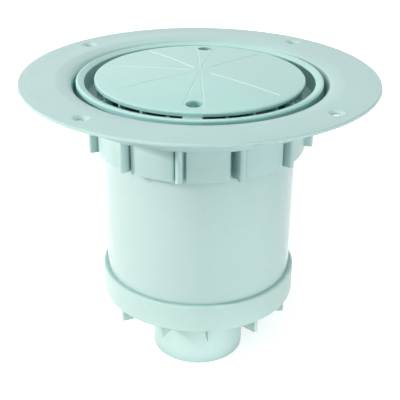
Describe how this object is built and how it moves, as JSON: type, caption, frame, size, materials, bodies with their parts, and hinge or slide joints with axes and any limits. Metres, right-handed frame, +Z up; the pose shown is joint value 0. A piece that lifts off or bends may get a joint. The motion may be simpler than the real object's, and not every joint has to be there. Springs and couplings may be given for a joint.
{
  "type": "shower gully",
  "caption": "Round shower gully: screw-down floor flange with domed slotted cover, ribbed socket, straight tube with water trap, and a gusseted base cup with a downward outlet spigot.",
  "frame": {"origin": "centre of the outlet spigot's end face, at the foot of the part", "axes": "+Z up along the tube towards the cover, -Y towards the front of the pictured view, +X to its right"},
  "size_m": [0.2, 0.2, 0.1788],
  "materials": {
    "flange_plastic": "satin moulded",
    "cover_plastic": "satin moulded",
    "tube_plastic": "smooth extruded",
    "base_plastic": "satin moulded",
    "bell_plastic": "satin moulded",
    "seal_rubber": "matt"
  },
  "bodies": {
    "root": {"floor_flange": "flange_plastic", "cover_plate": "cover_plastic", "gully_body": "tube_plastic", "base_cup": "base_plastic", "outlet_spigot": "base_plastic", "standpipe": "base_plastic", "trap_bell": "bell_plastic", "socket_seal": "seal_rubber", "base_seal": "seal_rubber"}
  },
  "joints": []
}
